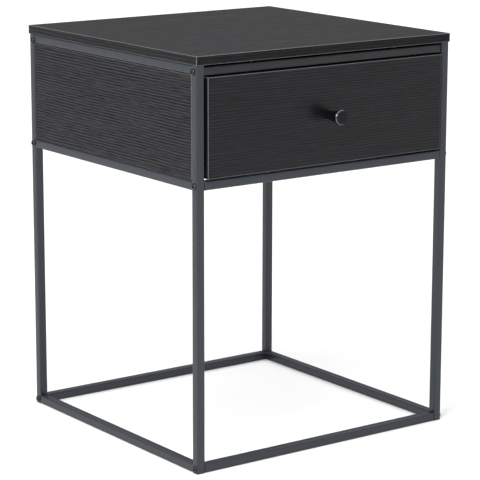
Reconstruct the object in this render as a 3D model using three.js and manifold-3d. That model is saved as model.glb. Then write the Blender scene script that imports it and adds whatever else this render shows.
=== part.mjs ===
// Side table with one drawer: a square-tube steel frame, bolted together from two welded side
// frames and six cross rails, with a board top, two board sides and a board back. The drawer
// hangs between the front posts on roller runners and is pulled by a round flared knob.
// Millimetres. +Z is up, the drawer opens towards -Y, and +X is to the right of someone facing it.
// The origin is the centre of the footprint, knob included, on the floor.
import * as THREE from 'three';
import { mergeVertices } from 'three/addons/utils/BufferGeometryUtils.js';
import Module from 'manifold-3d';

const wasm = await Module();
wasm.setup();

// Driving dimensions
const WIDTH = 420;               // over the posts, X
const DEPTH = 410;               // over the posts, Y
const FRAME_HEIGHT = 538;        // top of the steel frame
const TUBE = 12;                 // square tube
const WALL = 1.2;                // tube wall
const TUBE_CORNER = 1.8;         // outer corner radius of the tube
const MID_RAIL_TOP = 389;        // top of the rails under the drawer
const RAIL_DROP = 2.6;           // shadow gap between the top cross rails and the top board
const TOP_RAIL_RECESS = 2.5;     // top cross rails sit this far behind the post faces
const BOARD = 12;                // laminated board of the top and the drawer front
const SIDE_BOARD = 10;           // thinner board at the sides
const BACK_BOARD = 9;            // thinner board at the back
const OVERHANG = 1;              // the top board over the posts, all round
const PANEL_RECESS = 0.8;        // side and back boards behind the frame faces
const PANEL_GAP = 0.9;           // reveal round the side and back boards
const BACK_TOP_GAP = 1.5;        // above the back board, room for a screw head
const FRONT_PROUD = 3;           // the drawer front stands out of the posts
const FRONT_SIDE_GAP = 3.3;      // between the drawer front and each post
const FRONT_TOP_GAP = 1.1;       // above the drawer front
const FRONT_LOW_GAP = 2.6;       // below the drawer front

// Derived places
const HALF_W = WIDTH / 2;
const HALF_D = DEPTH / 2;
const POST_X = HALF_W - TUBE / 2;
const POST_Y = HALF_D - TUBE / 2;
const INNER_W = WIDTH - 2 * TUBE;
const INNER_D = DEPTH - 2 * TUBE;
const FLOOR_RAIL_Z = TUBE / 2;
const MID_RAIL_Z = MID_RAIL_TOP - TUBE / 2;
const SIDE_TOP_RAIL_Z = FRAME_HEIGHT - TUBE / 2;
const CROSS_TOP_RAIL_Z = SIDE_TOP_RAIL_Z - RAIL_DROP;

// Frame screws, button head with hexagon socket
const SCREW = { shank: 2.4, length: 22, head: 4.6, headHeight: 2.6, socket: 1.5, socketDepth: 1.6 };
const SCREW_HOLE = 2.75;         // clearance through the post and the plug
const PLUG = 10;                 // solid plug welded in each end of a cross rail

// Drawer and runners
const RUNNER_LENGTH = 350;
const RUNNER_GAP = 12.5;         // between the side board and the drawer side
const BOX_LIFT = 18;             // drawer box above the middle rails
const CHANNEL_LIFT = 1.5;        // channels above the underside of the drawer box
const DRAWER_BOARD = 12;
const DRAWER_SIDE_HEIGHT = 95;
const DRAWER_BOTTOM_LIFT = 8;    // drawer sides reach this far under the drawer bottom
const DRAWER_BOTTOM_BOARD = 3;
const GROOVE = 5;                // how far the drawer bottom reaches into its grooves
const GROOVE_PLAY = 0.3;
const SHEET = 1.2;               // runner steel
const ANGLE_SCREW_LIFT = 4;      // angle screws above the underside of the drawer box
const CHANNEL_HEIGHT = 18.5;     // cabinet half of a runner
const CHANNEL_FLANGE = 9.5;
const ROLLER_R = 6.6;
const ROLLER_WIDTH = 5;
const ROLLER_BORE = 2.3;
const ROLLER_INSET = 9;          // roller centre from the end of its runner
const PIN_R = 2;
const RIVET_R = 3.2;
const PLAY = 0.3;                // running play beside a roller
const RUNNER_SCREW = { shank: 1.6, length: 9, head: 2.8, headHeight: 0.9 };
const TOP_SCREW = { shank: 1.9, length: 21, head: 3.6, headHeight: 0.8 };
const TOP_SCREW_X = 120;

// Knob
const KNOB_LENGTH = 28;
const KNOB_HEAD_R = 10.1;
const KNOB_NECK_R = 6;

const BLACK_STEEL = { color: 0x2e3133, roughness: 0.5, metalness: 0.3 };
const BLACK_BOARD = { color: 0x2b2b2d, roughness: 0.6, metalness: 0 };
const SCREW_STEEL = { color: 0x151516, roughness: 0.4, metalness: 0.6 };
const KNOB_FINISH = { color: 0x0c0c0e, roughness: 0.15, metalness: 0.4 };
const DRAWER_FINISH = { color: 0x2f2f31, roughness: 0.6, metalness: 0 };
const RUNNER_FINISH = { color: 0x1c1d1f, roughness: 0.45, metalness: 0.4 };
const ROLLER_FINISH = { color: 0xd9d6cd, roughness: 0.4, metalness: 0 };

const group = new THREE.Group();
// The knob reaches past the frame at the front, so the frame stands back of the origin.
const KNOB_REACH = FRONT_PROUD + KNOB_LENGTH;
group.position.y = (KNOB_REACH - OVERHANG) / 2;

function addPart(name, geometry, finish) {
  const mesh = new THREE.Mesh(geometry, new THREE.MeshStandardMaterial(finish));
  mesh.name = name;
  group.add(mesh);
  return mesh;
}

function toSolid(geometry) {
  const bare = geometry.clone();
  bare.deleteAttribute('normal');
  bare.deleteAttribute('uv');
  const merged = mergeVertices(bare, 1e-4);
  return new wasm.Manifold(new wasm.Mesh({
    numProp: 3,
    vertProperties: new Float32Array(merged.attributes.position.array),
    triVerts: new Uint32Array(merged.index.array),
  }));
}

function toGeometry(solid) {
  const mesh = solid.getMesh();
  const geometry = new THREE.BufferGeometry();
  geometry.setAttribute('position', new THREE.BufferAttribute(mesh.vertProperties, 3));
  geometry.setIndex(new THREE.BufferAttribute(mesh.triVerts, 1));
  return geometry;
}

// A box from its lowest corner to its highest corner.
function boxBetween(low, high) {
  const size = high.map((value, i) => value - low[i]);
  const box = new THREE.BoxGeometry(...size);
  box.translate(...high.map((value, i) => (value + low[i]) / 2));
  return box;
}

// A round bar from one point along an axis: 'x', 'y' or 'z'.
function roundBar(radius, length, start, axis, sides = 24) {
  const bar = new THREE.CylinderGeometry(radius, radius, length, sides);
  bar.translate(0, length / 2, 0);
  if (axis === 'x') bar.rotateZ(-Math.PI / 2);
  if (axis === 'z') bar.rotateX(Math.PI / 2);
  bar.translate(...start);
  return bar;
}

function roundedSquare(half, corner) {
  const shape = new THREE.Shape();
  const inner = half - corner;
  shape.moveTo(-inner, -half);
  shape.lineTo(inner, -half);
  shape.absarc(inner, -inner, corner, -Math.PI / 2, 0);
  shape.lineTo(half, inner);
  shape.absarc(inner, inner, corner, 0, Math.PI / 2);
  shape.lineTo(-inner, half);
  shape.absarc(-inner, inner, corner, Math.PI / 2, Math.PI);
  shape.lineTo(-half, -inner);
  shape.absarc(-inner, -inner, corner, Math.PI, Math.PI * 1.5);
  return shape;
}

// An open square tube along Z, centred on its axis, from z = 0.
function squareTube(length) {
  const section = roundedSquare(TUBE / 2, TUBE_CORNER);
  section.holes.push(roundedSquare(TUBE / 2 - WALL, TUBE_CORNER / 4));
  return new THREE.ExtrudeGeometry(section, { depth: length, bevelEnabled: false, curveSegments: 3 });
}

// Posts: open tubes, drilled straight through at each cross rail.
const railLevels = {
  top: { z: CROSS_TOP_RAIL_Z, y: POST_Y - TOP_RAIL_RECESS },
  mid: { z: MID_RAIL_Z, y: POST_Y },
  floor: { z: FLOOR_RAIL_Z, y: POST_Y },
};
const corners = [
  { name: 'front_left', x: -1, y: -1 },
  { name: 'front_right', x: 1, y: -1 },
  { name: 'rear_left', x: -1, y: 1 },
  { name: 'rear_right', x: 1, y: 1 },
];
for (const corner of corners) {
  const tube = squareTube(FRAME_HEIGHT);
  tube.translate(corner.x * POST_X, corner.y * POST_Y, 0);
  let post = toSolid(tube);
  for (const { y, z } of Object.values(railLevels)) {
    const start = [corner.x * POST_X - TUBE, corner.y * y, z];
    post = post.subtract(toSolid(roundBar(SCREW_HOLE, 2 * TUBE, start, 'x', 16)));
  }
  addPart(`post_${corner.name}`, toGeometry(post), BLACK_STEEL);
}

// Side rails: open tubes welded between the front and rear post of each side.
const sideLevels = { top: SIDE_TOP_RAIL_Z, mid: MID_RAIL_Z, floor: FLOOR_RAIL_Z };
for (const [sideName, side] of [['left', -1], ['right', 1]]) {
  for (const [level, z] of Object.entries(sideLevels)) {
    const tube = squareTube(INNER_D);
    tube.rotateX(-Math.PI / 2);
    tube.translate(side * POST_X, -INNER_D / 2, z);
    addPart(`side_rail_${sideName}_${level}`, tube, BLACK_STEEL);
  }
}

// Cross rails: tubes with a drilled plug in each end, bolted between the two side frames.
for (const [endName, end] of [['front', -1], ['rear', 1]]) {
  for (const [level, { y, z }] of Object.entries(railLevels)) {
    const tube = squareTube(INNER_W);
    tube.rotateY(Math.PI / 2);
    tube.translate(-INNER_W / 2, end * y, z);
    let rail = toSolid(tube);
    for (const side of [-1, 1]) {
      const outer = side * INNER_W / 2;
      const inner = outer - side * PLUG;
      const half = TUBE / 2 - WALL / 2;
      const low = [Math.min(outer, inner), end * y - half, z - half];
      const high = [Math.max(outer, inner), end * y + half, z + half];
      const start = [Math.min(outer, inner) - 1, end * y, z];
      rail = rail.add(toSolid(boxBetween(low, high)));
      rail = rail.subtract(toSolid(roundBar(SCREW_HOLE, PLUG + 2, start, 'x', 16)));
      if (level === 'top') {
        const foot = [side * TOP_SCREW_X, end * y, z - TUBE];
        rail = rail.subtract(toSolid(roundBar(TOP_SCREW.shank + PLAY, 2 * TUBE, foot, 'z', 12)));
      }
    }
    addPart(`cross_rail_${endName}_${level}`, toGeometry(rail), BLACK_STEEL);
  }
}

// Frame screw along -Y of the lathe, head at the top, with a hexagon socket.
function frameScrew() {
  const profile = [
    new THREE.Vector2(0, -SCREW.length),
    new THREE.Vector2(SCREW.shank - 0.5, -SCREW.length),
    new THREE.Vector2(SCREW.shank, -SCREW.length + 0.6),
    new THREE.Vector2(SCREW.shank, 0),
    new THREE.Vector2(SCREW.head, 0),
    new THREE.Vector2(SCREW.head, SCREW.headHeight * 0.25),
    new THREE.Vector2(SCREW.head * 0.86, SCREW.headHeight * 0.7),
    new THREE.Vector2(SCREW.head * 0.6, SCREW.headHeight),
    new THREE.Vector2(0, SCREW.headHeight),
  ];
  const body = toSolid(new THREE.LatheGeometry(profile, 16));
  const socket = new THREE.CylinderGeometry(SCREW.socket, SCREW.socket, 2 * SCREW.socketDepth, 6);
  socket.translate(0, SCREW.headHeight, 0);
  return toGeometry(body.subtract(toSolid(socket)));
}

const screwGeometry = frameScrew();
for (const corner of corners) {
  for (const [level, { y, z }] of Object.entries(railLevels)) {
    const screw = addPart(`frame_screw_${corner.name}_${level}`, screwGeometry, SCREW_STEEL);
    screw.rotation.z = -corner.x * Math.PI / 2;
    screw.position.set(corner.x * HALF_W, corner.y * y, z);
  }
}

// A small pan-head screw up +Y of the lathe, head below y = 0.
function panScrew({ shank, length, head, headHeight }) {
  const profile = [
    [0, -headHeight], [head * 0.7, -headHeight], [head, -headHeight * 0.4], [head, 0],
    [shank, 0], [shank, length - 1.5], [0, length],
  ].map(([r, y]) => new THREE.Vector2(r, y));
  return new THREE.LatheGeometry(profile, 12);
}

// Top board, resting on the posts and the side rails, with four screws up through the cross rails.
const topLow = [-HALF_W - OVERHANG, -HALF_D - OVERHANG, FRAME_HEIGHT];
const topHigh = [HALF_W + OVERHANG, HALF_D + OVERHANG, FRAME_HEIGHT + BOARD];
const topScrewZ = CROSS_TOP_RAIL_Z - TUBE / 2;
let topPanel = toSolid(boxBetween(topLow, topHigh));
for (const corner of corners) {
  const place = [corner.x * TOP_SCREW_X, corner.y * railLevels.top.y, topScrewZ];
  const hole = roundBar(TOP_SCREW.shank + PLAY, TOP_SCREW.length + PLAY, place, 'z', 12);
  topPanel = topPanel.subtract(toSolid(hole));
  const screw = addPart(`top_screw_${corner.name}`, panScrew(TOP_SCREW), SCREW_STEEL);
  screw.rotation.x = Math.PI / 2;
  screw.position.set(...place);
}
addPart('top_panel', toGeometry(topPanel), BLACK_BOARD);

// Side boards, each filling the opening of its side frame above the middle rail.
const panelLowZ = MID_RAIL_TOP + PANEL_GAP;
const panelHighZ = FRAME_HEIGHT - TUBE - PANEL_GAP;
const panelHalfY = INNER_D / 2 - PANEL_GAP;
const panelOuterX = HALF_W - PANEL_RECESS;
const panelInnerX = panelOuterX - SIDE_BOARD;
const boxLowZ = MID_RAIL_TOP + BOX_LIFT;
const channelLowZ = boxLowZ + CHANNEL_LIFT;
const channelScrewZ = channelLowZ + CHANNEL_HEIGHT / 2;
const CHANNEL_SCREW_Y = [-110, 90];
const DRAWER_SCREW_Y = [-120, 70];
function runnerScrewHole(x, y, z) {
  const reach = RUNNER_SCREW.length + PLAY;
  const start = [Math.min(x, x + Math.sign(x) * reach), y, z];
  return toSolid(roundBar(RUNNER_SCREW.shank + PLAY, reach, start, 'x', 12));
}
for (const [sideName, side] of [['left', -1], ['right', 1]]) {
  const low = [Math.min(side * panelOuterX, side * panelInnerX), -panelHalfY, panelLowZ];
  const high = [Math.max(side * panelOuterX, side * panelInnerX), panelHalfY, panelHighZ];
  let panel = toSolid(boxBetween(low, high));
  for (const y of CHANNEL_SCREW_Y) {
    panel = panel.subtract(runnerScrewHole(side * (panelInnerX - SHEET), y, channelScrewZ));
  }
  addPart(`side_panel_${sideName}`, toGeometry(panel), BLACK_BOARD);
}

// Back board, between the rear posts and the rear cross rails.
const backOuterY = HALF_D - PANEL_RECESS;
const backHalfX = INNER_W / 2 - PANEL_GAP;
const backLow = [-backHalfX, backOuterY - BACK_BOARD, panelLowZ];
const backHigh = [backHalfX, backOuterY, topScrewZ - BACK_TOP_GAP];
addPart('back_panel', boxBetween(backLow, backHigh), BLACK_BOARD);

// Drawer front, standing proud between the front posts.
const frontHalfX = INNER_W / 2 - FRONT_SIDE_GAP;
const frontFaceY = -HALF_D - FRONT_PROUD;
const frontBackY = frontFaceY + BOARD;
const frontLowZ = MID_RAIL_TOP + FRONT_LOW_GAP;
const frontHighZ = CROSS_TOP_RAIL_Z - TUBE / 2 - FRONT_TOP_GAP;
const knobZ = (frontLowZ + frontHighZ) / 2;
const knobHole = roundBar(SCREW_HOLE, BOARD + 2, [0, frontFaceY - 1, knobZ], 'y', 16);
const frontLow = [-frontHalfX, frontFaceY, frontLowZ];
const frontHigh = [frontHalfX, frontBackY, frontHighZ];
const drawerFront = toSolid(boxBetween(frontLow, frontHigh)).subtract(toSolid(knobHole));
addPart('drawer_front', toGeometry(drawerFront), BLACK_BOARD);

// Drawer box behind the front: two sides, a back and a thin bottom let into grooves.
const boxHalfX = panelInnerX - RUNNER_GAP;
const boxInnerX = boxHalfX - DRAWER_BOARD;
const boxFrontY = frontBackY;
const boxRearY = boxFrontY + RUNNER_LENGTH;
const boxHighZ = boxLowZ + DRAWER_SIDE_HEIGHT;
const bottomLowZ = boxLowZ + DRAWER_BOTTOM_LIFT;
const bottomHighZ = bottomLowZ + DRAWER_BOTTOM_BOARD;
const groove = toSolid(boxBetween(
  [-boxInnerX - GROOVE, boxFrontY - 1, bottomLowZ - GROOVE_PLAY],
  [boxInnerX + GROOVE, boxRearY + 1, bottomHighZ + GROOVE_PLAY],
));
const drawerScrewZ = boxLowZ + ANGLE_SCREW_LIFT;
for (const [sideName, side] of [['left', -1], ['right', 1]]) {
  const low = [Math.min(side * boxHalfX, side * boxInnerX), boxFrontY, boxLowZ];
  const high = [Math.max(side * boxHalfX, side * boxInnerX), boxRearY, boxHighZ];
  let board = toSolid(boxBetween(low, high)).subtract(groove);
  for (const y of DRAWER_SCREW_Y) {
    const reach = RUNNER_SCREW.length + PLAY;
    const start = [Math.min(side * boxHalfX, side * (boxHalfX - reach)), y, drawerScrewZ];
    board = board.subtract(toSolid(roundBar(RUNNER_SCREW.shank + PLAY, reach, start, 'x', 12)));
  }
  addPart(`drawer_side_${sideName}`, toGeometry(board), DRAWER_FINISH);
}
const drawerBackLow = [-boxInnerX, boxRearY - DRAWER_BOARD, bottomHighZ + GROOVE_PLAY];
addPart('drawer_back', boxBetween(drawerBackLow, [boxInnerX, boxRearY, boxHighZ]), DRAWER_FINISH);
const bottomHalfX = boxInnerX + GROOVE - GROOVE_PLAY;
addPart('drawer_bottom', boxBetween(
  [-bottomHalfX, boxFrontY, bottomLowZ],
  [bottomHalfX, boxRearY - 1, bottomHighZ],
), DRAWER_FINISH);

// Knob: a turned neck that flares to a chamfered head, drilled from behind for its screw.
const knobProfile = [
  [0, 0], [KNOB_NECK_R, 0], [KNOB_NECK_R, 3], [7.2, 12], [8.9, 22.4], [8.9, 23.4],
  [KNOB_HEAD_R, 24.2], [KNOB_HEAD_R, 26.8], [8.9, KNOB_LENGTH], [0, KNOB_LENGTH],
].map(([r, y]) => new THREE.Vector2(r, y));
const knobBore = roundBar(SCREW_HOLE, 32, [0, -20, 0], 'y', 16);
const knobSolid = toSolid(new THREE.LatheGeometry(knobProfile, 32)).subtract(toSolid(knobBore));
const knob = addPart('knob', toGeometry(knobSolid), KNOB_FINISH);
knob.rotation.x = Math.PI;
knob.position.set(0, frontFaceY, knobZ);

// Knob screw: a pan head inside the drawer and a shank through the front into the knob.
const knobScrewProfile = [
  [0, -20], [1.8, -20], [2.2, -19.4], [2.2, 0], [4.5, 0], [4.5, 1.2], [3.6, 2.2], [0, 2.6],
].map(([r, y]) => new THREE.Vector2(r, y));
const knobScrew = addPart('knob_screw', new THREE.LatheGeometry(knobScrewProfile, 16), SCREW_STEEL);
knobScrew.position.set(0, frontBackY, knobZ);

// Roller runners. Each has a channel screwed to the side board, with a roller at its front end,
// and an angle under the drawer side, with a roller at its rear end. The angle's flange runs on
// the front roller, and the rear roller runs along the floor of the channel.
// Across the runner, u goes from the drawer side (0) to the side board (RUNNER_GAP).
const webU = RUNNER_GAP - SHEET;
const rollerU = RUNNER_GAP / 2 - ROLLER_WIDTH / 2;
const rearRollerZ = channelLowZ + SHEET + ROLLER_R;
const frontRollerZ = rearRollerZ + 0.6;
const flangeLowZ = frontRollerZ + ROLLER_R + 0.1;
const channelFrontY = -INNER_D / 2 + 0.5;
const frontRollerY = channelFrontY + ROLLER_INSET;
const rearRollerY = boxRearY - ROLLER_INSET;
const angleFrontY = boxFrontY + 1;
const SUPPORT = 10;              // the angle's lower flange, under the drawer side

for (const [sideName, side] of [['left', -1], ['right', 1]]) {
  // A solid between two places across the runner, mirrored on the left.
  const across = (u0, u1, y0, y1, z0, z1) => {
    const x0 = side * (boxHalfX + u0);
    const x1 = side * (boxHalfX + u1);
    return toSolid(boxBetween([Math.min(x0, x1), y0, z0], [Math.max(x0, x1), y1, z1]));
  };
  const pin = (radius, u0, u1, y, z) => {
    const x0 = side * (boxHalfX + u0);
    const x1 = side * (boxHalfX + u1);
    return toSolid(roundBar(radius, u1 - u0, [Math.min(x0, x1), y, z], 'x', 16));
  };
  const addRoller = (name, y, z) => {
    const ring = pin(ROLLER_R, rollerU, rollerU + ROLLER_WIDTH, y, z)
      .subtract(pin(ROLLER_BORE, rollerU - 1, rollerU + ROLLER_WIDTH + 1, y, z));
    addPart(name, toGeometry(ring), ROLLER_FINISH);
  };
  const channelRearY = channelFrontY + RUNNER_LENGTH;
  const channelHighZ = channelLowZ + CHANNEL_HEIGHT;
  const flangeU = RUNNER_GAP - CHANNEL_FLANGE;
  const rollerEndU = rollerU + ROLLER_WIDTH;

  let channel = across(webU, RUNNER_GAP, channelFrontY, channelRearY, channelLowZ, channelHighZ)
    .add(across(flangeU, RUNNER_GAP, channelFrontY, channelRearY, channelLowZ, channelLowZ + SHEET))
    .add(across(flangeU + 3, RUNNER_GAP, channelFrontY, channelRearY, channelHighZ - SHEET, channelHighZ))
    .add(pin(RIVET_R, rollerEndU + PLAY, webU + 0.1, frontRollerY, frontRollerZ))
    .add(pin(PIN_R, rollerU - 0.9, webU, frontRollerY, frontRollerZ))
    .add(pin(RIVET_R, rollerU - PLAY - 0.9, rollerU - PLAY, frontRollerY, frontRollerZ));
  for (const y of CHANNEL_SCREW_Y) {
    channel = channel.subtract(runnerScrewHole(side * (panelInnerX - 2 * SHEET), y, channelScrewZ));
    const screw = addPart(`channel_screw_${sideName}_${y < 0 ? 'front' : 'rear'}`,
      panScrew(RUNNER_SCREW), SCREW_STEEL);
    screw.rotation.z = -side * Math.PI / 2;
    screw.position.set(side * (panelInnerX - SHEET), y, channelScrewZ);
  }
  addPart(`runner_channel_${sideName}`, toGeometry(channel), RUNNER_FINISH);
  addRoller(`front_roller_${sideName}`, frontRollerY, frontRollerZ);

  let angle = across(0, SHEET, angleFrontY, boxRearY, boxLowZ - SHEET, flangeLowZ + SHEET)
    .add(across(0, CHANNEL_FLANGE, angleFrontY, boxRearY, flangeLowZ, flangeLowZ + SHEET))
    .add(across(-SUPPORT, SHEET, angleFrontY, boxRearY, boxLowZ - SHEET, boxLowZ))
    .add(pin(RIVET_R, SHEET - 0.1, rollerU - PLAY, rearRollerY, rearRollerZ))
    .add(pin(PIN_R, SHEET, rollerEndU + 0.9, rearRollerY, rearRollerZ))
    .add(pin(RIVET_R, rollerEndU + PLAY, rollerEndU + PLAY + 0.9, rearRollerY, rearRollerZ));
  for (const y of DRAWER_SCREW_Y) {
    angle = angle.subtract(pin(RUNNER_SCREW.shank + PLAY, -1, SHEET + 1, y, drawerScrewZ));
    const screw = addPart(`angle_screw_${sideName}_${y < 0 ? 'front' : 'rear'}`,
      panScrew(RUNNER_SCREW), SCREW_STEEL);
    screw.rotation.z = side * Math.PI / 2;
    screw.position.set(side * (boxHalfX + SHEET), y, drawerScrewZ);
  }
  addPart(`runner_angle_${sideName}`, toGeometry(angle), RUNNER_FINISH);
  addRoller(`rear_roller_${sideName}`, rearRollerY, rearRollerZ);
}

export default group;
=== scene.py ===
import math

import bmesh
import bpy
from mathutils import Euler, Matrix, Vector


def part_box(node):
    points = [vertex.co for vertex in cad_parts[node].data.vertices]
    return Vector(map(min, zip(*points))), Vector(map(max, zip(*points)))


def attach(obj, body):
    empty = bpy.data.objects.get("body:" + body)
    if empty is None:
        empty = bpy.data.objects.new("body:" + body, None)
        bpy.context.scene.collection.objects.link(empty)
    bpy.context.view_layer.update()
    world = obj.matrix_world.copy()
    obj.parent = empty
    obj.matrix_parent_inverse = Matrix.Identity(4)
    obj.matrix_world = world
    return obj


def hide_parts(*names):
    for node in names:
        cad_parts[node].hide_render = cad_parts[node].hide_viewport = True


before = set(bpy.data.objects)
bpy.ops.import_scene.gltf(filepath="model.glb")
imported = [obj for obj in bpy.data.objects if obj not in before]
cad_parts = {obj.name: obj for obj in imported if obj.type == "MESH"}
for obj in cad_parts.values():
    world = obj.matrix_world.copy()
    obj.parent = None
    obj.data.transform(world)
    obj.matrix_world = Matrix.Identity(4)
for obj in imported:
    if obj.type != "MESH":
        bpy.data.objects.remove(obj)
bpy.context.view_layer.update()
MM = 0.001

# Posts and side rails. 12 mm square steel tube with rolled corners. Each side frame is welded
# from two posts and three rails, ground flush outside, blasted and sprayed with black powder.
TUBE_WALL = 1.2 * MM
TUBE_CORNER = 1.8 * MM
CUT_BEVEL = 0.3 * MM
CORNER_STEPS = 8
SIDES = ("left", "right")
ENDS = ("front", "rear")
LEVELS = ("top", "mid", "floor")


def linear(hex_colour):
    """An sRGB hex colour as linear RGBA."""
    parts = [int(hex_colour[i:i + 2], 16) / 255 for i in (1, 3, 5)]
    return [p / 12.92 if p <= 0.04045 else ((p + 0.055) / 1.055) ** 2.4 for p in parts] + [1.0]


def add(tree, kind, inputs=None, **settings):
    """A node with its settings. Each input takes a value, or a link when given a socket."""
    node = tree.nodes.new(kind)
    for name, value in settings.items():
        setattr(node, name, value)
    for key, value in (inputs or {}).items():
        if isinstance(value, bpy.types.NodeSocket):
            tree.links.new(value, node.inputs[key])
        else:
            node.inputs[key].default_value = value
    return node


def finish_material(name, build, **values):
    """A material whose surface shader is what build returns for its node tree."""
    material = bpy.data.materials.new(name)
    material.use_nodes = True
    tree = material.node_tree
    tree.nodes.clear()
    place = add(tree, "ShaderNodeTexCoord").outputs["Object"]
    shader = build(tree, place, **values)
    add(tree, "ShaderNodeOutputMaterial", {"Surface": shader.outputs["BSDF"]})
    return material


def powder_coat(tree, place, dark, light, roughness, peel_size):
    """Polyester powder baked on steel: a dielectric skin, satin, with a faint orange peel."""
    peel = add(tree, "ShaderNodeTexNoise", {"Vector": place, "Scale": 1 / peel_size, "Detail": 2.0})
    cloud = add(tree, "ShaderNodeTexNoise", {"Vector": place, "Scale": 24.0, "Detail": 3.0})
    colour = add(tree, "ShaderNodeMix", {
        "Factor": cloud.outputs["Fac"], 6: linear(dark), 7: linear(light),
    }, data_type="RGBA")
    gloss = add(tree, "ShaderNodeMapRange", {
        "Value": cloud.outputs["Fac"], "From Min": 0.3, "From Max": 0.7,
        "To Min": roughness - 0.04, "To Max": roughness + 0.06,
    })
    bump = add(tree, "ShaderNodeBump", {
        "Height": peel.outputs["Fac"], "Distance": 0.06 * MM, "Strength": 0.6,
    })
    return add(tree, "ShaderNodeBsdfPrincipled", {
        "Base Color": colour.outputs[2], "Roughness": gloss.outputs["Result"],
        "Normal": bump.outputs["Normal"], "IOR": 1.5,
    })


# Real peel is under 1 mm wide; it is drawn wider so that it shows.
frame_coat = finish_material("satin_black_powder_coat", powder_coat, dark="#191e25",
                             light="#22272f", roughness=0.36, peel_size=1.6 * MM)


def rounded_square(half, corner):
    """Points round a square with arc corners, anticlockwise."""
    points = []
    for quarter in range(4):
        turn = Matrix.Rotation(math.radians(90 * quarter), 2)
        centre = turn @ Vector((half - corner, half - corner))
        for step in range(CORNER_STEPS + 1):
            angle = math.radians(90 * (quarter + step / CORNER_STEPS))
            points.append(centre + corner * Vector((math.cos(angle), math.sin(angle))))
    return points


def skin(name, rings, joined=False, crisp=35):
    """A mesh over rings of points. joined links the last ring to the first, else both are capped.

    Edges that turn by more than crisp degrees stay sharp.
    """
    mesh = bmesh.new()
    rows = [[mesh.verts.new(point) for point in ring] for ring in rings]
    pairs = list(zip(rows, rows[1:])) + ([(rows[-1], rows[0])] if joined else [])
    for row, after in pairs:
        for i in range(len(row)):
            j = (i + 1) % len(row)
            mesh.faces.new((row[i], row[j], after[j], after[i]))
    if not joined:
        mesh.faces.new(reversed(rows[0]))
        mesh.faces.new(rows[-1])
    bmesh.ops.remove_doubles(mesh, verts=mesh.verts, dist=1e-7)
    bmesh.ops.recalc_face_normals(mesh, faces=mesh.faces)
    for face in mesh.faces:
        face.smooth = True
    for edge in mesh.edges:
        edge.smooth = edge.calc_face_angle(0) < math.radians(crisp)
    data = bpy.data.meshes.new(name)
    mesh.to_mesh(data)
    mesh.free()
    return data


def tube(name, low, high, grow=0.0, bevel=CUT_BEVEL):
    """A square tube that fills the box from low to high, longer by grow at both ends."""
    size = high - low
    axis = max(range(3), key=lambda i: size[i])
    across = [i for i in range(3) if i != axis]
    half = size[across[0]] / 2
    start, end = low[axis] - grow, high[axis] + grow
    inner = half - TUBE_WALL
    rings = []
    for along, reach, corner in (
        (start + bevel, half, TUBE_CORNER), (end - bevel, half, TUBE_CORNER),
        (end, half - bevel, TUBE_CORNER - bevel), (end, inner, TUBE_CORNER / 3),
        (start, inner, TUBE_CORNER / 3), (start, half - bevel, TUBE_CORNER - bevel),
    ):
        ring = []
        for point in rounded_square(reach, corner):
            place = (low + high) / 2
            place[axis] = along
            place[across[0]] += point.x
            place[across[1]] += point.y
            ring.append(place)
        rings.append(ring)
    return skin(name, rings, joined=True)


def add_piece(name, data, body, nodes, slot, *materials):
    """Puts a finished mesh in the scene on its body, in place of its CAD nodes."""
    for material in materials:
        data.materials.append(material)
    piece = bpy.data.objects.new(name, data)
    bpy.context.scene.collection.objects.link(piece)
    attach(piece, body)
    if nodes:
        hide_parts(*nodes)
    return piece


for side in SIDES:
    for end in ENDS:
        node = f"post_{end}_{side}"
        add_piece(f"{node}_tube", tube(node, *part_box(node)), "frame", [node], "frame_steel", frame_coat)
    for level in LEVELS:
        node = f"side_rail_{side}_{level}"
        data = tube(node, *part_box(node), grow=TUBE_CORNER)
        add_piece(f"{node}_tube", data, "frame", [node], "frame_steel", frame_coat)

# Weld beads. Each side rail is MIG welded to its posts above, below and inside. A bead is a
# half-buried wire of weld metal with a ripple at every step of the torch, coated with the frame.
BEAD_RADIUS = 0.8 * MM
BEAD_SINK = 0.35 * MM
BEAD_SIDES = 10
RIPPLE_PITCH = 1.1 * MM
RIPPLE_STEPS = 5                 # points along the bead in each ripple
RIPPLE_WAIST = 0.8               # the bead's girth between ripples, as a share of its fullest


def geometry_tree(name, **sockets):
    """A geometry tree with named inputs, and the outputs of its group input."""
    tree = bpy.data.node_groups.new(name, "GeometryNodeTree")
    tree.interface.new_socket("Geometry", in_out="INPUT", socket_type="NodeSocketGeometry")
    for label, kind in sockets.items():
        tree.interface.new_socket(label, in_out="INPUT", socket_type=f"NodeSocket{kind}")
    tree.interface.new_socket("Geometry", in_out="OUTPUT", socket_type="NodeSocketGeometry")
    return tree, add(tree, "NodeGroupInput").outputs


def end_tree(tree, geometry, finish):
    """Ends a geometry tree with real meshes in one finish."""
    real = add(tree, "GeometryNodeRealizeInstances", {"Geometry": geometry})
    coated = add(tree, "GeometryNodeSetMaterial", {
        "Geometry": real.outputs["Geometry"], "Material": finish,
    })
    add(tree, "NodeGroupOutput", {"Geometry": coated.outputs["Geometry"]})


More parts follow.
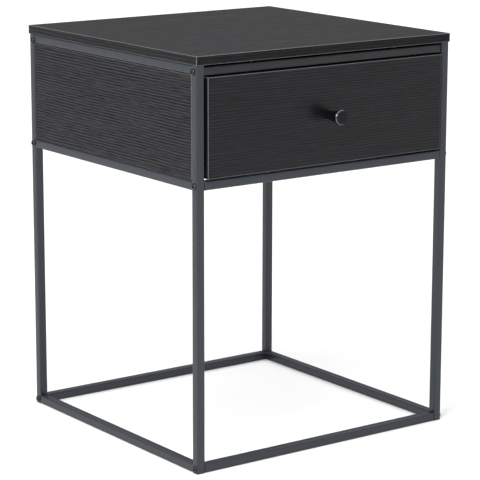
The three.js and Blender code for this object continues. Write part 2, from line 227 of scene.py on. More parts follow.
def bead_tree():
    """A bead along every edge, which swells once in each pitch."""
    tree, given = geometry_tree("weld_bead", Radius="Float", Pitch="Float", Finish="Material")
    path = add(tree, "GeometryNodeMeshToCurve", {"Mesh": given["Geometry"]})
    step = add(tree, "ShaderNodeMath", {0: given["Pitch"], 1: RIPPLE_STEPS}, operation="DIVIDE")
    fine = add(tree, "GeometryNodeResampleCurve", {
        "Curve": path.outputs["Curve"], "Length": step.outputs["Value"],
    }, mode="LENGTH")
    along = add(tree, "GeometryNodeSplineParameter").outputs["Length"]
    turns = add(tree, "ShaderNodeMath", {0: along, 1: given["Pitch"]}, operation="DIVIDE")
    half_turns = add(tree, "ShaderNodeMath", {
        0: turns.outputs["Value"], 1: math.pi,
    }, operation="MULTIPLY")
    wave = add(tree, "ShaderNodeMath", {0: half_turns.outputs["Value"]}, operation="SINE")
    hump = add(tree, "ShaderNodeMath", {0: wave.outputs["Value"]}, operation="ABSOLUTE")
    swell = add(tree, "ShaderNodeMapRange", {
        "Value": hump.outputs["Value"], "To Min": RIPPLE_WAIST, "To Max": 1.0,
    })
    section = add(tree, "GeometryNodeCurvePrimitiveCircle", {
        "Resolution": BEAD_SIDES, "Radius": given["Radius"],
    })
    rippled = add(tree, "GeometryNodeSetCurveRadius", {
        "Curve": fine.outputs["Curve"], "Radius": swell.outputs["Result"],
    })
    bead = add(tree, "GeometryNodeCurveToMesh", {
        "Curve": rippled.outputs["Curve"], "Profile Curve": section.outputs["Curve"],
        "Scale": swell.outputs["Result"], "Fill Caps": True,
    })
    end_tree(tree, bead.outputs["Mesh"], given["Finish"])
    return tree


def finished_mesh(obj):
    """The mesh that an object's modifiers make, with the object itself removed."""
    graph = bpy.context.evaluated_depsgraph_get()
    data = bpy.data.meshes.new_from_object(obj.evaluated_get(graph))
    bpy.data.objects.remove(obj)
    return data


def through_tree(name, tree, points, edges=(), facings=(), **inputs):
    """Runs a geometry tree over points or edges, and returns the mesh that it makes."""
    carrier = bpy.data.meshes.new(name)
    carrier.from_pydata(points, edges, [])
    if facings:
        facing = carrier.attributes.new("facing", "FLOAT_VECTOR", "POINT")
        for i, direction in enumerate(facings):
            facing.data[i].vector = direction
    obj = bpy.data.objects.new(name, carrier)
    bpy.context.scene.collection.objects.link(obj)
    modifier = obj.modifiers.new(name, "NODES")
    modifier.node_group = tree
    for item in tree.interface.items_tree:
        if item.in_out == "INPUT" and item.name in inputs:
            modifier[item.identifier] = inputs[item.name]
    return finished_mesh(obj)


def joint_corners(side, level, y):
    """The corners of a rail's end that are welded: all but the flush outer face and free faces."""
    low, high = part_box(f"side_rail_{side}_{level}")
    inner_x = high.x - BEAD_SINK if side == "left" else low.x + BEAD_SINK
    outer_x = low.x + TUBE_CORNER if side == "left" else high.x - TUBE_CORNER
    under = [Vector((outer_x, y, low.z + BEAD_SINK)), Vector((inner_x, y, low.z + BEAD_SINK))]
    over = [Vector((inner_x, y, high.z - BEAD_SINK)), Vector((outer_x, y, high.z - BEAD_SINK))]
    if level == "floor":
        under = [Vector((inner_x, y, low.z + TUBE_CORNER))]
    if level == "top":
        over = [Vector((inner_x, y, high.z - TUBE_CORNER))]
    return under + over


weld_tree = bead_tree()
for side in SIDES:
    points, edges = [], []
    for level in LEVELS:
        low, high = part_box(f"side_rail_{side}_{level}")
        for y in (low.y, high.y):
            route = joint_corners(side, level, y)
            edges += [(len(points) + i, len(points) + i + 1) for i in range(len(route) - 1)]
            points += route
    data = through_tree(f"weld_{side}", weld_tree, points, edges,
                        Radius=BEAD_RADIUS, Pitch=RIPPLE_PITCH, Finish=frame_coat)
    data.shade_smooth()
    add_piece(f"weld_beads_{side}", data, "frame", [], "frame_steel")

# Cross rails. The same tube, cut square and deburred, with a drilled plug in each end, and
# bolted between the side frames after coating: a fine dark seam shows at every post. The top
# two, tucked under the board, take a blacker copy of the coat with a coarser, smoother peel:
# the blacker colour is painted shade from the board above them.
SEAM = 0.3 * MM
DEBURR = 0.6 * MM
top_rail_shade_coat = finish_material("top_rail_coat_with_painted_shade", powder_coat, dark="#0b0c0f", light="#121418",
                           roughness=0.4, peel_size=3.0 * MM)
for end in ENDS:
    for level in LEVELS:
        node = f"cross_rail_{end}_{level}"
        data = tube(node, *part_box(node), grow=-SEAM, bevel=DEBURR)
        # the top rails take the blacker coat: painted shade under the board
        coat = top_rail_shade_coat if level == "top" else frame_coat
        add_piece(f"{node}_tube", data, "frame", [node], "frame_steel", coat)

# Frame screws. M5 button-head socket screws, cold headed and blackened in hot oxide: a low dome
# with a crisp hexagon socket. They pass through the posts into the plugs of the cross rails.
TURNED_SIDES = 48
SOCKET_RADIUS = 1.7 * MM
SOCKET_DEPTH = 1.5 * MM
M5_SHANK = 2.4 * MM
M5_LENGTH = 20 * MM
CHAMFER = 0.4 * MM
HEAD_EDGE = 0.2 * MM
SOCKET_LEAD = 0.15 * MM          # the countersink round the socket's mouth
HEAD_CRISP = 32


def black_oxide(tree, place):
    """Oxide black on steel: thin, oiled, and darker than the powder beside it."""
    mottle = add(tree, "ShaderNodeTexNoise", {"Vector": place, "Scale": 900.0, "Detail": 2.0})
    colour = add(tree, "ShaderNodeMix", {
        "Factor": mottle.outputs["Fac"], 6: linear("#040405"), 7: linear("#0c0c0d"),
    }, data_type="RGBA")
    bump = add(tree, "ShaderNodeBump", {
        "Height": mottle.outputs["Fac"], "Distance": 0.02 * MM, "Strength": 0.5,
    })
    return add(tree, "ShaderNodeBsdfPrincipled", {
        "Base Color": colour.outputs[2], "Roughness": 0.18,
        "Normal": bump.outputs["Normal"],
    })


oxide_steel = finish_material("black_oxide_steel", black_oxide)


def ring(height, radius, sides=TURNED_SIDES):
    """Points round +Z at a height. radius is a number, or a function of the angle."""
    points = []
    for i in range(sides):
        angle = 2 * math.pi * i / sides
        reach = radius(angle) if callable(radius) else radius
        points.append(Vector((reach * math.cos(angle), reach * math.sin(angle), height)))
    return points


def hexagon(corner):
    """A hexagon outline as a radius for each angle; corner is the radius at its corners."""
    flat = corner * math.cos(math.pi / 6)
    return lambda angle: flat / math.cos(angle % (math.pi / 3) - math.pi / 6)


def cross(arm, half_width):
    """A cross-recess outline as a radius for each angle, its arms on the axes."""
    def radius(angle):
        off = abs((angle + math.pi / 4) % (math.pi / 2) - math.pi / 4)
        return min(arm, half_width / max(math.sin(off), 1e-6))
    return radius


def button_head(head, height):
    """An M5 screw along +Z, its head standing on z = 0."""
    rings = [
        ring(-M5_LENGTH, M5_SHANK - CHAMFER), ring(-M5_LENGTH + CHAMFER, M5_SHANK),
        ring(0, M5_SHANK), ring(0, head - HEAD_EDGE), ring(HEAD_EDGE, head),
    ]
    mouth = SOCKET_RADIUS * 1.1
    for degrees in range(10, 91, 8):
        rise = math.sin(math.radians(degrees)) * (height - HEAD_EDGE)
        spread = math.cos(math.radians(degrees)) ** 0.8
        rings.append(ring(HEAD_EDGE + rise, mouth + (head - mouth) * spread))
    rings += [
        ring(height - SOCKET_LEAD, hexagon(SOCKET_RADIUS)),
        ring(height - SOCKET_DEPTH, hexagon(SOCKET_RADIUS)),
    ]
    return skin("button_head_screw", rings, crisp=HEAD_CRISP)


def place_tree():
    """Copies one piece to every point, with its +Z along the point's facing."""
    tree, given = geometry_tree("place_on_points", Piece="Object", Finish="Material")
    facing = add(tree, "GeometryNodeInputNamedAttribute", {
        "Name": "facing",
    }, data_type="FLOAT_VECTOR")
    turn = add(tree, "FunctionNodeAlignRotationToVector", {
        "Vector": facing.outputs["Attribute"],
    }, axis="Z")
    piece = add(tree, "GeometryNodeObjectInfo", {
        "Object": given["Piece"],
    }, transform_space="ORIGINAL")
    copies = add(tree, "GeometryNodeInstanceOnPoints", {
        "Points": given["Geometry"], "Instance": piece.outputs["Geometry"],
        "Rotation": turn.outputs["Rotation"],
    })
    end_tree(tree, copies.outputs["Instances"], given["Finish"])
    return tree


placing = place_tree()


def placed(name, pattern_mesh, points, facings, finish):
    """One mesh of a piece repeated at points, each along its facing."""
    pattern = bpy.data.objects.new(f"{name}_pattern", pattern_mesh)
    bpy.context.scene.collection.objects.link(pattern)
    result = through_tree(name, placing, points, (), facings, Piece=pattern, Finish=finish)
    bpy.data.objects.remove(pattern)
    return result


def middle(node):
    """The middle of a node's box."""
    low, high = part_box(node)
    return (low + high) / 2


screw_nodes = [
    f"frame_screw_{end}_{side}_{level}" for end in ENDS for side in SIDES for level in LEVELS
]
points, facings = [], []
for node in screw_nodes:
    outward = -1 if "left" in node else 1
    post_low, post_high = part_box(f"post_front_{SIDES[outward > 0]}")
    centre = middle(node)
    centre.x = post_low.x if outward < 0 else post_high.x
    points.append(centre)
    facings.append(Vector((outward, 0, 0)))
screw_low, screw_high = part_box(screw_nodes[0])
pattern = button_head((screw_high.z - screw_low.z) / 2, points[0].x - screw_low.x)
data = placed("frame_screws", pattern, points, facings, oxide_steel)
add_piece("frame_screws", data, "frame", screw_nodes, "screw_steel")

# Side boards, back board and top board. Chipboard faced with melamine laminate, printed black
# and pressed with an open ash grain: satin ridges with dull dark pores between them. The edges
# carry a smoother, slightly glossier ABS band; its rounded corners are coloured paler, a painted
# highlight.
RIDGE_SPACING = 3.9 * MM
RIDGE_LENGTH = 260 * MM
RIDGE_SWAY = 6 * MM              # how far a ridge wanders along the board
SWAY_WIDTH = 60 * MM
RIDGE_RIPPLE = 1.6 * MM          # its smaller bends, each as wide as RIPPLE_WIDTH
RIPPLE_WIDTH = 9 * MM
FADE_WIDTH = 11 * MM             # ridges come and go in patches of this width
PORE_SHARE = 0.38
FIGURE_SHARE = 0.2
PORE_WIDTH = 1.3 * MM            # real pores are finer; this is the narrowest that shows
PORE_LENGTH = 26 * MM
FIGURE_WIDTH = 16 * MM           # slow light and dark bands of the growth rings
EDGE_RADIUS = 0.7 * MM


def ash_laminate(tree, place, turn, dark, light, roughness, relief, shine=0.2):
    """Black ash-grain melamine. turn brings the grain onto the X axis of the pattern."""
    turned = add(tree, "ShaderNodeMapping", {"Vector": place, "Rotation": turn}).outputs["Vector"]

    def streaks(length, width, detail=1.0):
        squeezed = add(tree, "ShaderNodeVectorMath", {
            0: turned, 1: (1 / length, 1 / width, 1 / width),
        }, operation="MULTIPLY")
        return add(tree, "ShaderNodeTexNoise", {
            "Vector": squeezed.outputs["Vector"], "Scale": 1.0, "Detail": detail,
        }).outputs["Fac"]

    axes = add(tree, "ShaderNodeSeparateXYZ", {"Vector": turned}).outputs
    across = add(tree, "ShaderNodeMath", {0: axes["Y"], 1: axes["Z"]}, operation="ADD")
    swayed = add(tree, "ShaderNodeMath", {
        0: streaks(RIDGE_LENGTH, SWAY_WIDTH), 1: RIDGE_SWAY, 2: across.outputs["Value"],
    }, operation="MULTIPLY_ADD")
    rippled = add(tree, "ShaderNodeMath", {
        0: streaks(RIDGE_LENGTH / 5, RIPPLE_WIDTH), 1: RIDGE_RIPPLE, 2: swayed.outputs["Value"],
    }, operation="MULTIPLY_ADD")
    turns = add(tree, "ShaderNodeMath", {
        0: rippled.outputs["Value"], 1: 2 * math.pi / RIDGE_SPACING,
    }, operation="MULTIPLY")
    wave = add(tree, "ShaderNodeMath", {0: turns.outputs["Value"]}, operation="SINE")
    fade = add(tree, "ShaderNodeMapRange", {
        "Value": streaks(RIDGE_LENGTH / 3, FADE_WIDTH), "From Min": 0.38, "From Max": 0.6,
        "To Min": 0.16, "To Max": 0.5,
    })
    ridges = add(tree, "ShaderNodeMath", {
        0: wave.outputs["Value"], 1: fade.outputs["Result"], 2: 0.5,
    }, operation="MULTIPLY_ADD")
    pores = add(tree, "ShaderNodeMapRange", {
        "Value": streaks(PORE_LENGTH, PORE_WIDTH, 2.0), "From Min": 0.3, "From Max": 0.7,
    })
    figure = streaks(RIDGE_LENGTH / 2, FIGURE_WIDTH, 3.0)
    fine = add(tree, "ShaderNodeMix", {
        "Factor": PORE_SHARE, "A": ridges.outputs["Value"], "B": pores.outputs["Result"],
    })
    grain = add(tree, "ShaderNodeMix", {
        "Factor": FIGURE_SHARE, "A": fine.outputs["Result"], "B": figure,
    })
    spread = add(tree, "ShaderNodeMapRange", {
        "Value": grain.outputs["Result"], "From Min": 0.32, "From Max": 0.68,
    }).outputs["Result"]
    colour = add(tree, "ShaderNodeMix", {
        "Factor": spread, 6: linear(dark), 7: linear(light),
    }, data_type="RGBA")
    gloss = add(tree, "ShaderNodeMapRange", {
        "Value": spread, "To Min": roughness + 0.16, "To Max": roughness - 0.04,
    })
    bump = add(tree, "ShaderNodeBump", {"Height": spread, "Distance": relief, "Strength": 0.6})
    return add(tree, "ShaderNodeBsdfPrincipled", {
        "Base Color": colour.outputs[2], "Roughness": gloss.outputs["Result"],
        "Specular IOR Level": shine, "Normal": bump.outputs["Normal"], "IOR": 1.4,
    })


QUARTER = math.pi / 2
GRAIN_TURNS = {"x": Euler((0, 0, 0)), "y": Euler((0, 0, QUARTER)), "z": Euler((0, QUARTER, 0))}
face_laminate = {
    axis: finish_material(f"black_ash_laminate_{axis}", ash_laminate, turn=turn, dark="#030304",
                          light="#29292d", roughness=0.33, relief=0.3 * MM)
    for axis, turn in GRAIN_TURNS.items()
}
edge_band = {
    axis: finish_material(f"black_abs_edge_band_{axis}", ash_laminate, turn=turn, dark="#050506",
                          light="#19191b", roughness=0.3, relief=0.1 * MM)
    for axis, turn in GRAIN_TURNS.items()
}


def painted_edge_highlight(tree, place):
    """The rounded corner of an edge band, coloured paler and duller than its face: a painted highlight.
    """
    highlight_mottle = add(tree, "ShaderNodeTexNoise", {"Vector": place, "Scale": 260.0, "Detail": 2.0})
    colour = add(tree, "ShaderNodeMix", {
        "Factor": highlight_mottle.outputs["Fac"], 6: linear("#343437"), 7: linear("#66666a"),
    }, data_type="RGBA")
    return add(tree, "ShaderNodeBsdfPrincipled", {
        "Base Color": colour.outputs[2], "Roughness": 0.45,
    })


# pale grey finish for the rounded band corners: a painted highlight
edge_highlight_finish = finish_material("abs_edge_painted_highlight", painted_edge_highlight)


def bevelled(name, mesh, radius, segments=3):
    """A mesh with its sharp edges rounded and its flat faces shaded flat."""
    data = bpy.data.meshes.new(name)
    for face in mesh.faces:
        face.smooth = True
    mesh.to_mesh(data)
    mesh.free()
    obj = bpy.data.objects.new(name, data)
    bpy.context.scene.collection.objects.link(obj)
    bevel = obj.modifiers.new("rounded_edges", "BEVEL")
    bevel.width = radius
    bevel.segments = segments
    bevel.limit_method = "ANGLE"
    bevel.angle_limit = math.radians(40)
    obj.modifiers.new("flat_faces", "WEIGHTED_NORMAL").weight = 100
    return finished_mesh(obj)


def block(low, high):
    """A closed box as a bmesh."""
    mesh = bmesh.new()
    place = Matrix.Translation((low + high) / 2) @ Matrix.Diagonal((*(high - low), 1))
    bmesh.ops.create_cube(mesh, size=1, matrix=place)
    return mesh


def faced_board(name, low, high, grain, thin, skin_material=None):
    """A board with laminated faces across the thin axis, and bands along its four edges."""
    data = bevelled(name, block(low, high), EDGE_RADIUS)
    band_axes = [axis for axis in "xyz" if axis != thin]
    for face in data.polygons:
        facing = max(range(3), key=lambda i: abs(face.normal[i]))
        along = 1 if "xyz"[facing] == band_axes[0] else 0
        flat = abs(face.normal["xyz".index(thin)]) > 0.99
        # the rounded corner faces take the pale finish, a painted highlight
        painted_highlight_face = abs(face.normal[facing]) < 0.99
        face.material_index = 3 if painted_highlight_face else 0 if flat else 1 + along
    bands = [edge_band[axis] for axis in band_axes]
    for material in (skin_material or face_laminate[grain], *bands, edge_highlight_finish):
        data.materials.append(material)
    return data


for node, grain, thin in (
    ("side_panel_left", "y", "x"), ("side_panel_right", "y", "x"),
    ("back_panel", "x", "y"), ("top_panel", "x", "z"),
):
    data = faced_board(node, *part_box(node), grain, thin)
    add_piece(f"{node}_board", data, "frame", [node], "board")

# Screws under the top board. Pan-head chipboard screws with a cross recess, driven up through
# the top cross rails into the board.
RECESS_DEPTH = 1.0 * MM
POINT_LENGTH = 2.5 * MM
POINT_RADIUS = 0.1 * MM
RIM_SHARE = 0.15                 # height of a pan head's straight rim, as a share of the head's
CROWN_SHARE = 0.62               # radius of its flat crown, as a share of the head's
PAN_SHARE = 0.32                 # height of the head, as a share of its radius


def pan_head(head, height, shank, length):
    """A chipboard screw along +Z with its head standing on z = 0, and its point below."""
    rings = [
        ring(-length, POINT_RADIUS), ring(-length + POINT_LENGTH, shank),
        ring(0, shank), ring(0, head * 0.97),
    ]
    for degrees in (0, 20, 40, 60, 80):
        rise = RIM_SHARE + (1 - RIM_SHARE) * math.sin(math.radians(degrees))
        spread = CROWN_SHARE + (1 - CROWN_SHARE) * math.cos(math.radians(degrees))
        rings.append(ring(height * rise, head * spread))
    outline = cross(head * 0.55, head * 0.13)
    rings += [ring(height, outline), ring(height - RECESS_DEPTH, cross(head * 0.3, head * 0.08))]
    return skin("pan_head_screw", rings, crisp=HEAD_CRISP)


def screw_set(name, body, nodes, axis, head_side, length, shank_share=0.55):
    """Pan-head screws along one axis, in place of their nodes. head_side is 1 or -1 for each."""
    points, facings = [], []
    for node, sign in zip(nodes, head_side):
        low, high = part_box(node)
        across = [i for i in range(3) if i != axis]
        head = (high[across[0]] - low[across[0]]) / 2
        height = head * PAN_SHARE
        centre = (low + high) / 2
        centre[axis] = high[axis] - height if sign > 0 else low[axis] + height
        facing = Vector((0, 0, 0))
        facing[axis] = sign
        points.append(centre)
        facings.append(facing)
    pattern = pan_head(head, height, head * shank_share, length)
    data = placed(name, pattern, points, facings, oxide_steel)
    add_piece(name, data, body, nodes, "screw_steel")


top_screws = [f"top_screw_{end}_{side}" for end in ENDS for side in SIDES]
screw_set("top_board_screws", "frame", top_screws, 2, [-1] * 4, 20 * MM)

# Runner channels. Cold-rolled 1.2 mm sheet, bent into a C and dip-coated black, screwed to the
# inside of each side board. A riveted pin near the front carries the front roller.
SHEET = 1.2 * MM
BEND_RADIUS = 1.4 * MM
SHEARED_EDGE = 0.15 * MM
CHANNEL_FLANGE = 9.5 * MM
CHANNEL_LIP = 6.5 * MM
CHANNEL_HEIGHT = 18.5 * MM
PIN_RADIUS = 2.0 * MM
RIVET_RADIUS = 3.2 * MM
RIVET_HEIGHT = 0.9 * MM
RUNNER_SCREW_LENGTH = 9 * MM
runner_coat = finish_material("black_dip_coated_sheet", powder_coat, dark="#1b1c1e", light="#242528",
                              roughness=0.3, peel_size=3.0 * MM)


def bent_sheet(name, path, start_y, end_y):
    """Sheet metal along Y: path is the middle of the sheet in X and Z, bent at each corner."""
    mesh = bmesh.new()
    rows = [[mesh.verts.new((x, y, z)) for x, z in path] for y in (start_y, end_y)]
    for i in range(len(path) - 1):
        mesh.faces.new((rows[0][i], rows[0][i + 1], rows[1][i + 1], rows[1][i]))
    bends = [edge for edge in mesh.edges if len(edge.link_faces) == 2]
    bmesh.ops.bevel(mesh, geom=bends, offset=BEND_RADIUS, segments=5, profile=0.5, affect="EDGES")
    bmesh.ops.recalc_face_normals(mesh, faces=mesh.faces)
    data = bpy.data.meshes.new(name)
    mesh.to_mesh(data)
    mesh.free()
    obj = bpy.data.objects.new(name, data)
    bpy.context.scene.collection.objects.link(obj)
    wall = obj.modifiers.new("sheet", "SOLIDIFY")
    wall.thickness = SHEET
    wall.offset = 0
    wall.use_even_offset = True
    solid = finished_mesh(obj)
    mesh = bmesh.new()
    mesh.from_mesh(solid)
    return bevelled(name, mesh, SHEARED_EDGE, 2)


def riveted_pin(roller, inner_x, outer_x):
    """A pin through a roller along X, with a flat rivet head at inner_x, as a mesh."""
    centre = middle(roller)
    toward = 1 if inner_x > outer_x else -1
    span = abs(inner_x - outer_x)
    rings = [
        ring(0, PIN_RADIUS), ring(span - RIVET_HEIGHT, PIN_RADIUS),
        ring(span - RIVET_HEIGHT, RIVET_RADIUS - 0.2 * MM),
        ring(span - RIVET_HEIGHT + 0.2 * MM, RIVET_RADIUS),
        ring(span - 0.3 * MM, RIVET_RADIUS), ring(span, RIVET_RADIUS - 0.5 * MM),
    ]
    data = skin("riveted_pin", rings)
    lying = Matrix.Rotation(toward * QUARTER, 4, "Y")
    data.transform(Matrix.Translation((outer_x, centre.y, centre.z)) @ lying)
    return data


def join(name, *parts):
    """One mesh from several."""
    mesh = bmesh.new()
    for part in parts:
        mesh.from_mesh(part)
    data = bpy.data.meshes.new(name)
    mesh.to_mesh(data)
    mesh.free()
    return data


for side, outward in zip(SIDES, (-1, 1)):
    node = f"runner_channel_{side}"
    low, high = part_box(node)
    board_x = high.x if outward > 0 else low.x
    web_x = board_x - outward * SHEET / 2
    floor_z = low.z + SHEET / 2
    lip_z = low.z + CHANNEL_HEIGHT - SHEET / 2
    path = [
        (board_x - outward * CHANNEL_FLANGE, floor_z), (web_x, floor_z),
        (web_x, lip_z), (board_x - outward * CHANNEL_LIP, lip_z),
    ]
    inner_x = low.x if outward > 0 else high.x
    pin = riveted_pin(f"front_roller_{side}", inner_x, web_x)
    data = join(node, bent_sheet(node, path, low.y, high.y), pin)
    add_piece(f"{node}_sheet", data, "frame", [node], "runner_steel", runner_coat)
channel_screws = [f"channel_screw_{side}_{end}" for side in SIDES for end in ENDS]
screw_set("channel_screws", "frame", channel_screws, 0, (1, 1, -1, -1), RUNNER_SCREW_LENGTH)

# Runner rollers. Moulded in natural acetal, with a shallow groove round the tread and a web
# inside the rim. Each turns on its own pin as the drawer slides.
ROLLER_BORE = 2.15 * MM
BORE_EDGE = 0.2 * MM
TREAD_EDGE = 0.5 * MM
TREAD_GROOVE = 0.5 * MM          # half the groove's width
GROOVE_CUT = 0.3 * MM
HUB_SHARE = 0.55                 # radii as shares of the roller's: the hub, the web from its foot
WEB_FROM = 0.6                   # to its top, and the inside of the rim
WEB_TO = 0.8
RIM_SHARE_INSIDE = 0.84
WEB_SHARE = 0.6                  # thickness of the web, as a share of the roller's


def moulded_acetal(tree, place):
    """Natural acetal: milky white, waxy, with a faint mould flow."""
    flow = add(tree, "ShaderNodeTexNoise", {"Vector": place, "Scale": 300.0, "Detail": 2.0})
    colour = add(tree, "ShaderNodeMix", {
        "Factor": flow.outputs["Fac"], 6: linear("#d3d0c6"), 7: linear("#e4e1d8"),
    }, data_type="RGBA")
    return add(tree, "ShaderNodeBsdfPrincipled", {
        "Base Color": colour.outputs[2], "Roughness": 0.34, "IOR": 1.48,
        "Subsurface Weight": 0.15, "Subsurface Scale": 1.0 * MM,
    })


acetal = finish_material("natural_acetal", moulded_acetal)
for end in ENDS:
    for side in SIDES:
        node = f"{end}_roller_{side}"
        low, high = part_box(node)
        radius = (high.z - low.z) / 2
        half = (high.x - low.x) / 2
        web_half = half * WEB_SHARE
        outline = [
            (-half, ROLLER_BORE + BORE_EDGE), (-half, radius * HUB_SHARE),
            (-web_half, radius * WEB_FROM), (-web_half, radius * WEB_TO),
            (-half, radius * RIM_SHARE_INSIDE), (-half, radius - TREAD_EDGE),
            (-half + TREAD_EDGE, radius), (-TREAD_GROOVE, radius), (0, radius - GROOVE_CUT),
        ]
        outline += [(-x, r) for x, r in reversed(outline[:-1])]
        outline += [(half - BORE_EDGE, ROLLER_BORE), (-half + BORE_EDGE, ROLLER_BORE)]
        data = skin(node, [ring(x, r) for x, r in outline], joined=True)
        data.transform(Matrix.Translation((low + high) / 2) @ Matrix.Rotation(QUARTER, 4, "Y"))
        add_piece(f"{node}_wheel", data, node, [node], "roller", acetal)

# Runner angles. The drawer's half of each runner: sheet bent into a Z, with a flange that rides
# on the front roller and a lower flange under the drawer side. The rear roller is riveted on.
ANGLE_SUPPORT = 10 * MM
for side, outward in zip(SIDES, (-1, 1)):
    node = f"runner_angle_{side}"
    low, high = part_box(node)
    box_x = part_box(f"drawer_side_{side}")[outward > 0].x
    web_x = box_x + outward * SHEET / 2
    foot_z = low.z + SHEET / 2
    track_z = high.z - SHEET / 2
    path = [
        (box_x - outward * ANGLE_SUPPORT, foot_z), (web_x, foot_z),
        (web_x, track_z), (box_x + outward * CHANNEL_FLANGE, track_z),
    ]
    outer_x = high.x if outward > 0 else low.x
    pin = riveted_pin(f"rear_roller_{side}", outer_x, web_x)
    data = join(node, bent_sheet(node, path, low.y, high.y), pin)
    add_piece(f"{node}_sheet", data, "drawer", [node], "runner_steel", runner_coat)
angle_screws = [f"angle_screw_{side}_{end}" for side in SIDES for end in ENDS]
screw_set("angle_screws", "drawer", angle_screws, 0, (-1, -1, 1, 1), RUNNER_SCREW_LENGTH)

# Drawer box. Two sides and a back of plain black melamine-faced board, with a thin hardboard
# bottom slid into grooves in the sides. The cut edges are banded and barely rounded.
BOX_EDGE = 0.4 * MM
BOTTOM_EDGE = 0.2 * MM


def plain_melamine(tree, place):
    """Plain black melamine: dull, with the fine pearl texture of its press plate."""
    pearl = add(tree, "ShaderNodeTexVoronoi", {"Vector": place, "Scale": 1 / (1.1 * MM)})
    cloud = add(tree, "ShaderNodeTexNoise", {"Vector": place, "Scale": 30.0, "Detail": 3.0})
    colour = add(tree, "ShaderNodeMix", {
        "Factor": cloud.outputs["Fac"], 6: linear("#1b1b1c"), 7: linear("#262628"),
    }, data_type="RGBA")
    bump = add(tree, "ShaderNodeBump", {
        "Height": pearl.outputs["Distance"], "Distance": 0.06 * MM, "Strength": 0.5,
    })
    return add(tree, "ShaderNodeBsdfPrincipled", {
        "Base Color": colour.outputs[2], "Roughness": 0.5, "Normal": bump.outputs["Normal"],
    })


melamine = finish_material("plain_black_melamine", plain_melamine)
for node in ("drawer_side_left", "drawer_side_right", "drawer_back", "drawer_bottom"):
    mesh = bmesh.new()
    mesh.from_mesh(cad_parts[node].data)
    bmesh.ops.remove_doubles(mesh, verts=mesh.verts, dist=1e-6)
    bmesh.ops.dissolve_limit(mesh, angle_limit=0.02, verts=mesh.verts, edges=mesh.edges)
    data = bevelled(node, mesh, BOTTOM_EDGE if node == "drawer_bottom" else BOX_EDGE, 2)
    data.materials.clear()
    add_piece(f"{node}_board", data, "drawer", [node], "drawer_board", melamine)

# Drawer front. The same black ash laminate as the case with the grain running across, banded
# on all four edges, and fixed to the drawer box so that it stands just proud of the posts. Its
# sheet is a quieter one, with fainter ridges.
quiet_laminate = finish_material("quiet_black_ash_laminate", ash_laminate, turn=GRAIN_TURNS["x"],
                                 dark="#030305", light="#111116", roughness=0.27,
                                 relief=0.12 * MM, shine=0.38)
data = faced_board("drawer_front", *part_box("drawer_front"), "x", "y", quiet_laminate)
add_piece("drawer_front_board", data, "drawer", ["drawer_front"], "board")

# Knob. Turned in zinc alloy and lacquered gloss black: a neck that flares to a chamfered head,
# with a fine groove behind the head, and a paler metallic finish on the chamfered rim that is a
# painted highlight. A screw from inside the drawer holds it.
GROOVE_WIDTH = 1.0 * MM
GROOVE_DEPTH = 0.8 * MM
KNOB_BASE_RADIUS = 6.0 * MM
KNOB_FLARE_RADIUS = 8.9 * MM
HEAD_THICKNESS = 4.4 * MM
HEAD_CHAMFER = 1.2 * MM
KNOB_EDGE = 0.3 * MM
NECK_STRAIGHT = 2 * MM
FLARE_STEPS = 24
FLARE_POWER = 1.3                # over 1, so that the neck widens faster towards the head
KNOB_SIDES = 96


def gloss_lacquer(tree, place):
    """Baked lacquer on turned zinc: near-black and glossy, with a trace of the lathe's feed."""
    haze = add(tree, "ShaderNodeTexNoise", {"Vector": place, "Scale": 120.0, "Detail": 3.0})
    colour = add(tree, "ShaderNodeMix", {
        "Factor": haze.outputs["Fac"], 6: linear("#08080a"), 7: linear("#101013"),
    }, data_type="RGBA")
    gloss = add(tree, "ShaderNodeMapRange", {
        "Value": haze.outputs["Fac"], "To Min": 0.2, "To Max": 0.3,
    })
    return add(tree, "ShaderNodeBsdfPrincipled", {
        "Base Color": colour.outputs[2], "Roughness": gloss.outputs["Result"], "IOR": 1.5,
        "Specular IOR Level": 0.15,
    })


def knob_rim_highlight_finish(tree, place):
    """A paler metallic finish for the knob's chamfered rim: a painted highlight."""
    rim_mottle = add(tree, "ShaderNodeTexNoise", {"Vector": place, "Scale": 500.0, "Detail": 2.0})
    colour = add(tree, "ShaderNodeMix", {
        "Factor": rim_mottle.outputs["Fac"], 6: linear("#3c3c40"), 7: linear("#66666b"),
    }, data_type="RGBA")
    return add(tree, "ShaderNodeBsdfPrincipled", {
        "Base Color": colour.outputs[2], "Metallic": 0.8, "Roughness": 0.2,
    })


lacquer = finish_material("gloss_black_lacquer", gloss_lacquer)
rim_painted_highlight = finish_material("knob_rim_painted_highlight", knob_rim_highlight_finish)
knob_low, knob_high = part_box("knob")
knob_length = knob_high.y - knob_low.y
head_radius = (knob_high.z - knob_low.z) / 2
head_back = knob_length - HEAD_THICKNESS
outline = [(0, KNOB_BASE_RADIUS - KNOB_EDGE), (KNOB_EDGE, KNOB_BASE_RADIUS)]
for step in range(FLARE_STEPS + 1):
    share = step / FLARE_STEPS
    along = NECK_STRAIGHT + share * (head_back - GROOVE_WIDTH - NECK_STRAIGHT)
    widening = (KNOB_FLARE_RADIUS - KNOB_BASE_RADIUS) * share ** FLARE_POWER
    outline.append((along, KNOB_BASE_RADIUS + widening))
outline += [
    (head_back - GROOVE_WIDTH, KNOB_FLARE_RADIUS - GROOVE_DEPTH),
    (head_back, KNOB_FLARE_RADIUS - GROOVE_DEPTH),
    (head_back, head_radius - 0.4 * MM), (head_back + 0.4 * MM, head_radius),
    (knob_length - HEAD_CHAMFER, head_radius), (knob_length, head_radius - HEAD_CHAMFER),
    (knob_length, 0.2 * MM),
]
data = skin("knob", [ring(along, radius, KNOB_SIDES) for along, radius in outline], crisp=28)
for face in data.polygons:
    # the chamfer faces take the paler rim finish, a painted highlight
    face.material_index = int(knob_length - HEAD_CHAMFER < face.center.z < knob_length - 0.01 * MM)
centre = middle("knob")
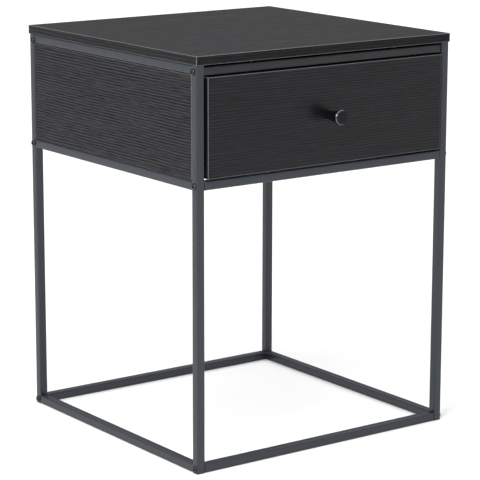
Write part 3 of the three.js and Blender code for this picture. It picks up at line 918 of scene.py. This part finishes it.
lying = Matrix.Rotation(QUARTER, 4, "X")
data.transform(Matrix.Translation((centre.x, knob_high.y, centre.z)) @ lying)
add_piece("knob_turning", data, "drawer", ["knob"], "knob", lacquer, rim_painted_highlight)
screw_set("knob_fixing_screw", "drawer", ["knob_screw"], 1, [1], 20 * MM, 0.45)

# Studio. A matt white floor that runs past the table on all sides, under a dim white dome with a
# broad soft ceiling and a brighter patch at the left. A square soft box stands to the upper left
# of the front.
FLOOR_HALF = 60.0


def matt_white(tree, place):
    """Matt white paint."""
    speck = add(tree, "ShaderNodeTexNoise", {"Vector": place, "Scale": 400.0})
    colour = add(tree, "ShaderNodeMix", {
        "Factor": speck.outputs["Fac"], 6: linear("#ebebeb"), 7: linear("#eeeeee"),
    }, data_type="RGBA")
    return add(tree, "ShaderNodeBsdfDiffuse", {"Color": colour.outputs[2]})


floor_mesh = bpy.data.meshes.new("studio_floor")
corners = [(x * FLOOR_HALF, y * FLOOR_HALF, 0) for x, y in ((-1, -1), (1, -1), (1, 1), (-1, 1))]
floor_mesh.from_pydata(corners, [], [(0, 1, 2, 3)])
floor_mesh.materials.append(finish_material("matt_white_floor", matt_white))
floor = bpy.data.objects.new("studio_floor", floor_mesh)
bpy.context.scene.collection.objects.link(floor)

DOME_GLOW = 0.17
GLOWS = (                        # azimuth, elevation, radius and soft edge in degrees; radiance
    (0, 90, 45, 25, 1.55),
    (-78, 40, 17, 5, 1.8),
)
world = bpy.data.worlds.new("studio_dome")
world.use_nodes = True
tree = world.node_tree
direction = add(tree, "ShaderNodeTexCoord").outputs["Generated"]
glow = DOME_GLOW
for azimuth, elevation, radius, edge, radiance in GLOWS:
    flat = math.cos(math.radians(elevation))
    toward = (
        math.sin(math.radians(azimuth)) * flat, -math.cos(math.radians(azimuth)) * flat,
        math.sin(math.radians(elevation)),
    )
    near = add(tree, "ShaderNodeVectorMath", {0: direction, 1: toward}, operation="DOT_PRODUCT")
    lit = add(tree, "ShaderNodeMapRange", {
        "Value": near.outputs["Value"],
        "From Min": math.cos(math.radians(radius + edge)), "From Max": math.cos(math.radians(radius)),
        "To Min": 0.0, "To Max": radiance,
    }, interpolation_type="SMOOTHSTEP")
    brighter = add(tree, "ShaderNodeMath", {0: lit.outputs["Result"], 1: glow}, operation="ADD")
    glow = brighter.outputs["Value"]
tree.links.new(glow, tree.nodes["Background"].inputs["Strength"])
tree.nodes["Background"].inputs["Color"].default_value = (1, 1, 1, 1)
bpy.context.scene.world = world
bpy.context.scene.view_settings.view_transform = "Standard"
LAMP_PLACE = Vector((-0.95, -0.8, 1.0))
LAMP_TARGET = Vector((0, 0, 0.4))
LAMP_WATTS = 12.0
LAMP_WIDTH = 0.5
lamp_data = bpy.data.lights.new("side_soft_box", "AREA")
lamp_data.energy = LAMP_WATTS
lamp_data.size = LAMP_WIDTH
lamp = bpy.data.objects.new("side_soft_box", lamp_data)
bpy.context.scene.collection.objects.link(lamp)
lamp.location = LAMP_PLACE
lamp.rotation_euler = (LAMP_TARGET - LAMP_PLACE).to_track_quat("-Z", "Y").to_euler()

# Camera. A long lens, 0.9 m above the floor and to the left of the front, that looks a little
# down on the table. It has no shift and no depth of field.
SENSOR = 36                      # width, in millimetres, as is the lens
LENS = 161.93
CAMERA_PLACE = Vector((-1.7487, -2.3978, 0.9087))
CAMERA_AZIMUTH = math.radians(-36.04)
CAMERA_ELEVATION = math.radians(12.449)
CAMERA_ROLL = math.radians(0.102)
camera_data = bpy.data.cameras.new("camera")
camera_data.sensor_width = SENSOR
camera_data.lens = LENS
camera = bpy.data.objects.new("camera", camera_data)
bpy.context.scene.collection.objects.link(camera)
camera.location = CAMERA_PLACE
back = Vector((
    math.sin(CAMERA_AZIMUTH) * math.cos(CAMERA_ELEVATION),
    -math.cos(CAMERA_AZIMUTH) * math.cos(CAMERA_ELEVATION), math.sin(CAMERA_ELEVATION),
))
camera.rotation_mode = "QUATERNION"
roll = Euler((0, 0, CAMERA_ROLL)).to_quaternion()
camera.rotation_quaternion = (-back).to_track_quat("-Z", "Y") @ roll
bpy.context.scene.camera = camera
